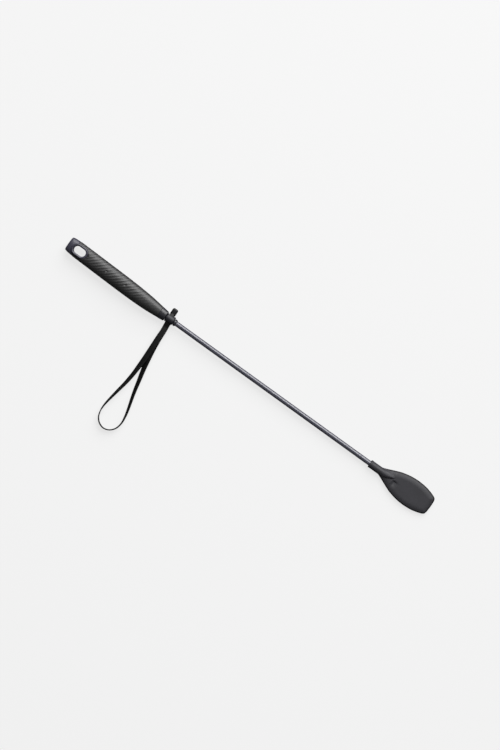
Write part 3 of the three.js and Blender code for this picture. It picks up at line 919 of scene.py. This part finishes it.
def flap_half_width(x):
    """Half the flap's width: the neck's or the blade's, whichever is wider, with a soft change."""
    neck = column(NECK_SWELLING, np.minimum(x, 566), 1)
    blade = np.where(x < 556, 0, column(FLAP_OUTLINE, np.maximum(x, 556), 1))
    wider = (neck + blade + np.hypot(neck - blade, 0.3)) / 2
    return np.where(x < 570, wider, blade)


def map_edge(ply, points):
    """Keeps each point's distance from the flap's edge in the ply's map, for its painted edge."""
    x, y, _ = points.T
    from_edge = edge_distance(x, y) + np.maximum(568 - x, 0)  # the round neck has no edge to paint
    corners = np.empty(len(ply.data.loops), int)
    ply.data.loops.foreach_get("vertex_index", corners)
    flat_map = np.stack([from_edge[corners], np.zeros(len(corners))], 1)
    ply.data.uv_layers.new(name="edge").data.foreach_set("uv", flat_map.ravel())


def flap_ply(name, side):
    """One ply, from its outer face round its edge to the middle plane."""
    stations = flap_stations()
    half = flap_half_width(stations)
    spread = np.linspace(0, math.pi, 121)
    x = np.repeat(stations[:, None], len(spread), 1)
    y = half[:, None] * np.cos(spread)[None]
    outer = np.stack([x, y, flap_height(x, y) * side], -1)
    parting = 0.09 * side  # the plies' inner faces just miss each other
    tuck = np.stack([stations, half - 0.12, np.full_like(half, parting)], -1)[:, None]
    rings = np.concatenate([outer, tuck * [1, -1, 1], tuck], 1)
    ply = loft(name, rings, 60)
    map_edge(ply, rings.reshape(-1, 3))
    return ply


# ---- stage ----

IMAGE_TURN = math.radians(35.8)  # how far the camera is turned about the vertical
VIEW_CENTRE = (325.2, 2.24, 0)  # in the picture's middle
VIEW_HEIGHT = 1088.7  # that the picture spans, at the height of the handle's middle
CAMERA_DISTANCE = 3200
# in metres
KEY_PLACE = (1.9, 3.1, 3.3)  # right and up in the camera's view, and over the surface
KEY_SIZE = 4.6
KEY_POWER = 530  # watts
FLOOR_REACH = 12


def image_place(right, up, height):
    """A place by how far right and up it is in the camera's view, in metres from the view's middle."""
    c, s = math.cos(IMAGE_TURN), math.sin(IMAGE_TURN)
    middle = place([VIEW_CENTRE])[0]
    return (middle[0] + c * right - s * up, middle[1] + s * right + c * up, height)


def floor():
    """A matt surface, even because most of its light is its own. The crop doesn't mirror it."""
    mesh = bpy.data.meshes.new("floor")
    mesh.from_pydata([(x * FLOOR_REACH, y * FLOOR_REACH, 0) for x, y in SQUARE], [], [(0, 1, 2, 3)])
    obj = bpy.data.objects.new("floor", mesh)
    bpy.context.scene.collection.objects.link(obj)
    n = Nodes("floor_pale", (0.12, 0.12, 0.12), 0.9)
    n.set(**{"Specular IOR Level": 0.0, "Emission Color": (1, 1, 1, 1), "Emission Strength": 0.755})
    obj.data.materials.append(n.material)
    obj.visible_glossy = False


def key_light():
    light = bpy.data.lights.new("key", "AREA")
    light.size = KEY_SIZE
    light.energy = KEY_POWER
    obj = bpy.data.objects.new("key", light)
    obj.location = image_place(*KEY_PLACE)
    aim = Vector(image_place(0, 0, 0)) - Vector(image_place(*KEY_PLACE))
    obj.rotation_euler = aim.to_track_quat("-Z", "Y").to_euler()
    bpy.context.scene.collection.objects.link(obj)


def studio():
    """One large soft light from the top right of the picture, and a faint white surround."""
    key_light()
    world = bpy.data.worlds.new("studio")
    world.use_nodes = True
    world.node_tree.nodes["Background"].inputs["Color"].default_value = (1, 1, 1, 1)
    world.node_tree.nodes["Background"].inputs["Strength"].default_value = 0.06
    bpy.context.scene.world = world
    bpy.context.scene.view_settings.view_transform = "Standard"


def camera():
    """Looks straight down, from far enough for its lens to draw little perspective."""
    data = bpy.data.cameras.new("camera")
    data.sensor_fit = "VERTICAL"
    data.sensor_height = 36
    data.lens = data.sensor_height * CAMERA_DISTANCE / VIEW_HEIGHT
    data.clip_end = 20
    obj = bpy.data.objects.new("camera", data)
    obj.location = image_place(0, 0, (CAMERA_DISTANCE + REST_HANDLE_HEIGHT) * MM)
    obj.rotation_euler = (0, 0, IMAGE_TURN)
    bpy.context.scene.collection.objects.link(obj)
    bpy.context.scene.camera = obj


# ---- assembly ----

# One core plastic in four tones: lighter on the butt and the ring as painted light, darker on the nose and
# the collar as painted shade
butt_plastic_painted_light = core_plastic("butt_plastic_painted_light", (0.037, 0.036, 0.052), 0.4, 0.4)
front_plastic_painted_shade = core_plastic("front_plastic_painted_shade", (0.014, 0.014, 0.018), 0.38)
collar_plastic_painted_shade = core_plastic("collar_plastic_painted_shade", (0.012, 0.012, 0.016), 0.5, 0.34)
ring_plastic_painted_light = core_plastic("ring_plastic_painted_light", (0.025, 0.025, 0.031), 0.24)
leather = strap_leather()
hide = flap_leather()

finish_piece(butt(), butt_plastic_painted_light, "core_plastic", "crop", "handle_core")
finish_piece(nose(), front_plastic_painted_shade, "core_plastic", "crop", "handle_core")
finish_piece(grip(), grip_rubber(), "grip_rubber", "crop", "grip_sleeve")
finish_piece(collar(), collar_plastic_painted_shade, "core_plastic", "crop", "strap_collar")
finish_piece(front_ring(), ring_plastic_painted_light, "core_plastic", "crop", "front_ring")
finish_piece(shaft(), shaft_lacquer(), "shaft_lacquer", "crop", "shaft_sleeve")
finish_piece(tab(), tab_rubber(), "tab_rubber", "crop", "strap_tab")

band = strap()
finish_piece(band, leather, "strap_leather", None, "strap_root_upper", "strap_root_lower", "wrist_loop")
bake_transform(band)

for ply, side in (("upper", 1), ("lower", -1)):
    leaf = flap_ply(f"flap_{ply}_ply", side)
    finish_piece(leaf, hide, "flap_leather", None, f"neck_{ply}_ply", f"blade_{ply}_ply")
    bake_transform(leaf)

floor()
studio()
camera()
